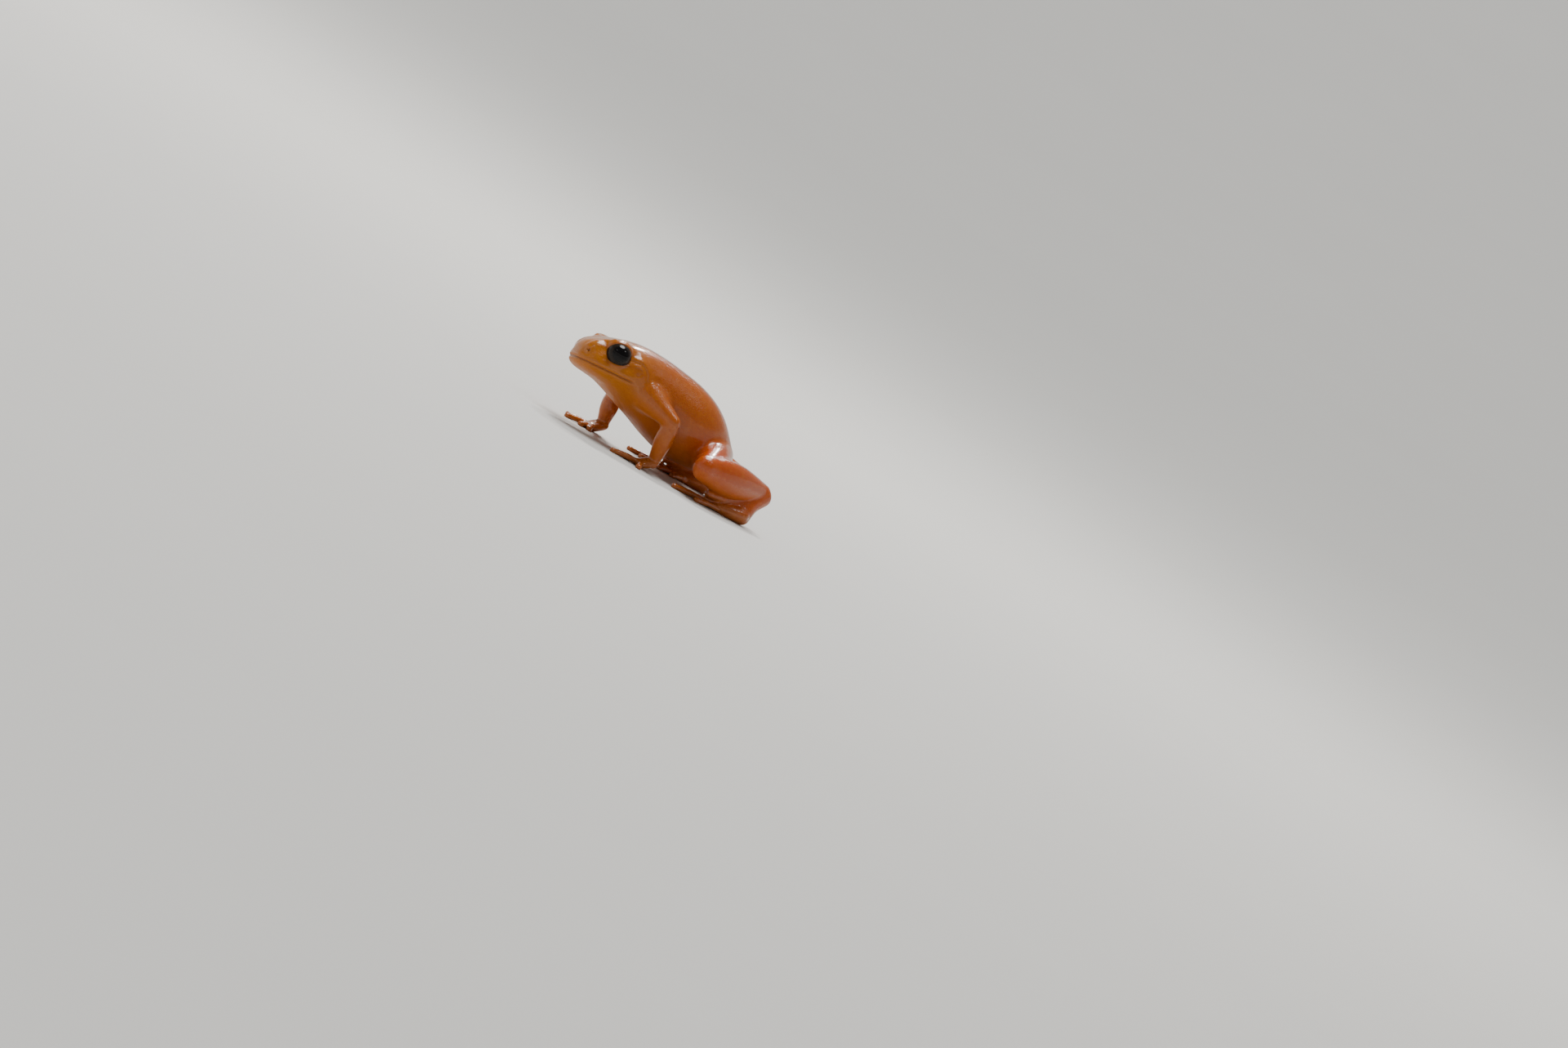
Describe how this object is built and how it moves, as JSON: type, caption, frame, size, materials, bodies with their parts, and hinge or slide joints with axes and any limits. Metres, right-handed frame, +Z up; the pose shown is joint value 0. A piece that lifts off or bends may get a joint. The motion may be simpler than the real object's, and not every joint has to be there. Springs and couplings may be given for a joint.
{
  "type": "golden mantella frog model",
  "caption": "Still life-size model of a small smooth-skinned frog sitting alert on four legs with its head raised, hands and feet flat on the floor.",
  "frame": {"origin": "bottom centre of the bounding box, on the floor plane under the belly", "axes": "+Z up from the floor; the frog faces -X; its left side is toward -Y"},
  "size_m": [0.029, 0.0196, 0.0118],
  "materials": {
    "skin": "moist glossy skin with fine granules, golden ochre on the head, orange on the back, red orange on the hind legs",
    "eye": "wet gloss, black"
  },
  "bodies": {
    "root": {"head": "skin", "torso": "skin", "eye_left": "eye", "eye_right": "eye", "upper_arm_left": "skin", "upper_arm_right": "skin", "forearm_left": "skin", "forearm_right": "skin", "hand_left": "skin", "hand_right": "skin", "thigh_left": "skin", "thigh_right": "skin", "shank_left": "skin", "shank_right": "skin", "tarsus_left": "skin", "tarsus_right": "skin", "foot_left": "skin", "foot_right": "skin"}
  },
  "joints": []
}
